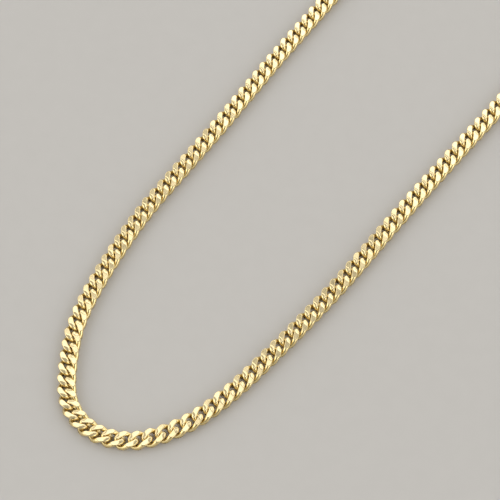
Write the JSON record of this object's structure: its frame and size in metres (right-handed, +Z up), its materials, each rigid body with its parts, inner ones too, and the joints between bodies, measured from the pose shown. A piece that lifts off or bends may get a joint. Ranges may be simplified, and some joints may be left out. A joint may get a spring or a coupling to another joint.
{
  "type": "curb chain necklace",
  "caption": "Yellow gold curb chain necklace of flat-filed twisted links in a narrow closed loop, laid flat, with a plain domed bar clasp.",
  "frame": {"origin": "on the table, under the middle of the loop's footprint", "axes": "+Y along the loop from its front bend towards the clasp, +Z up from the table, +X to the right seen from above with the clasp at the far end"},
  "size_m": [0.0544, 0.2041, 0.0021],
  "materials": {
    "gold_links": "polished, with flat filed faces",
    "gold_clasp": "polished"
  },
  "bodies": {
    "root": {"chain_left": "gold_links", "chain_right": "gold_links", "clasp": "gold_clasp"}
  },
  "joints": []
}
